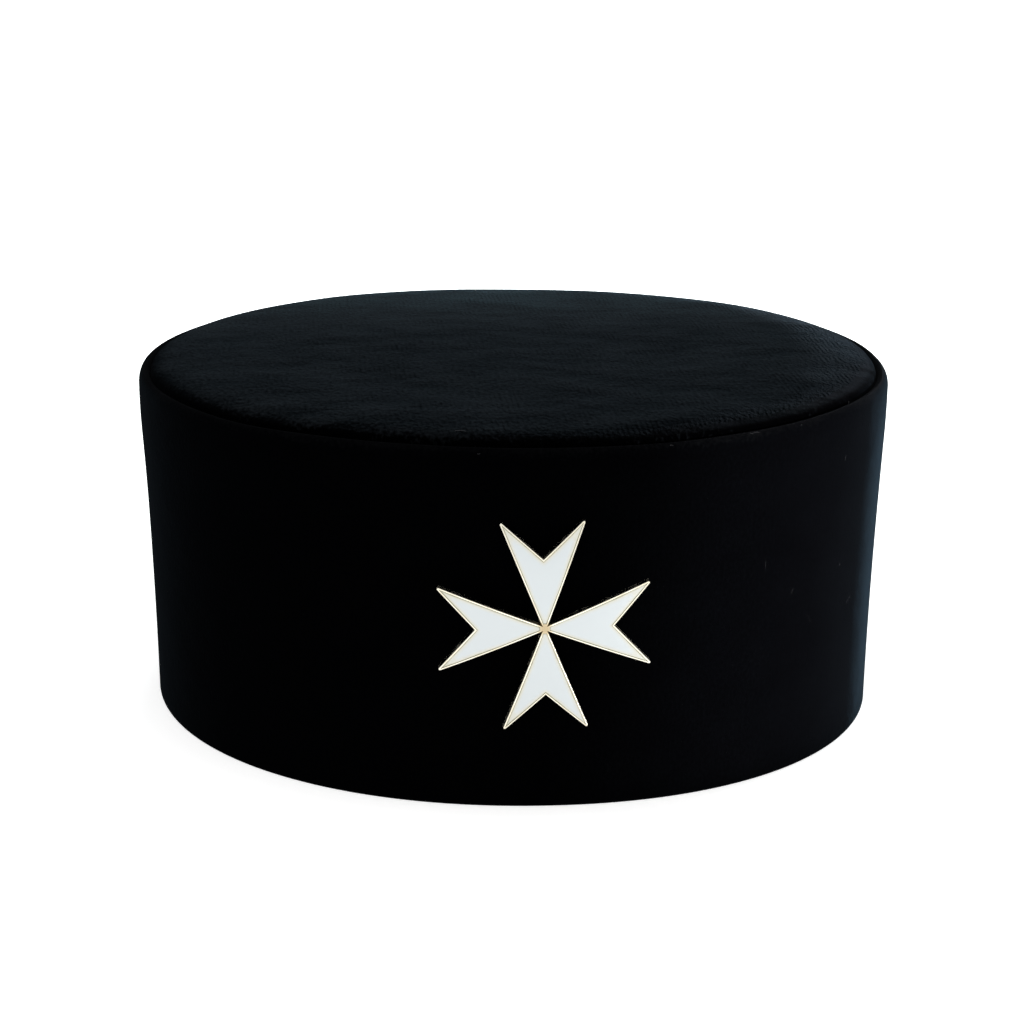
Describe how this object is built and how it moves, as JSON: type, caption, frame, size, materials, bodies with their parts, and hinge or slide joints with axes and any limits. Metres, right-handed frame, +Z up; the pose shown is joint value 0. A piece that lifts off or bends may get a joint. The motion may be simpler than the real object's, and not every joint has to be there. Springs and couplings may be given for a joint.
{
  "type": "masonic cap",
  "caption": "Low oval velvet cap with a flat top, softly rounded upper edge and open underside; a domed eight-pointed cross is pinned to its front.",
  "frame": {"origin": "on the surface the rim rests on, under the middle of the whole part's width and depth", "axes": "+Z up through the top panel; -Y forwards, the side with the badge; +X to the right as the badge is looked at"},
  "size_m": [0.1838, 0.225, 0.082],
  "materials": {
    "velvet": "black cotton velvet with a faint cool sheen",
    "gilt": "polished gilt",
    "enamel": "glossy cool white enamel",
    "pin": "plain satin brass"
  },
  "bodies": {
    "root": {"side_band": "velvet", "crown_top": "velvet", "badge_plate": "gilt", "enamel_top": "enamel", "enamel_right": "enamel", "enamel_bottom": "enamel", "enamel_left": "enamel", "badge_post": "pin"}
  },
  "joints": []
}
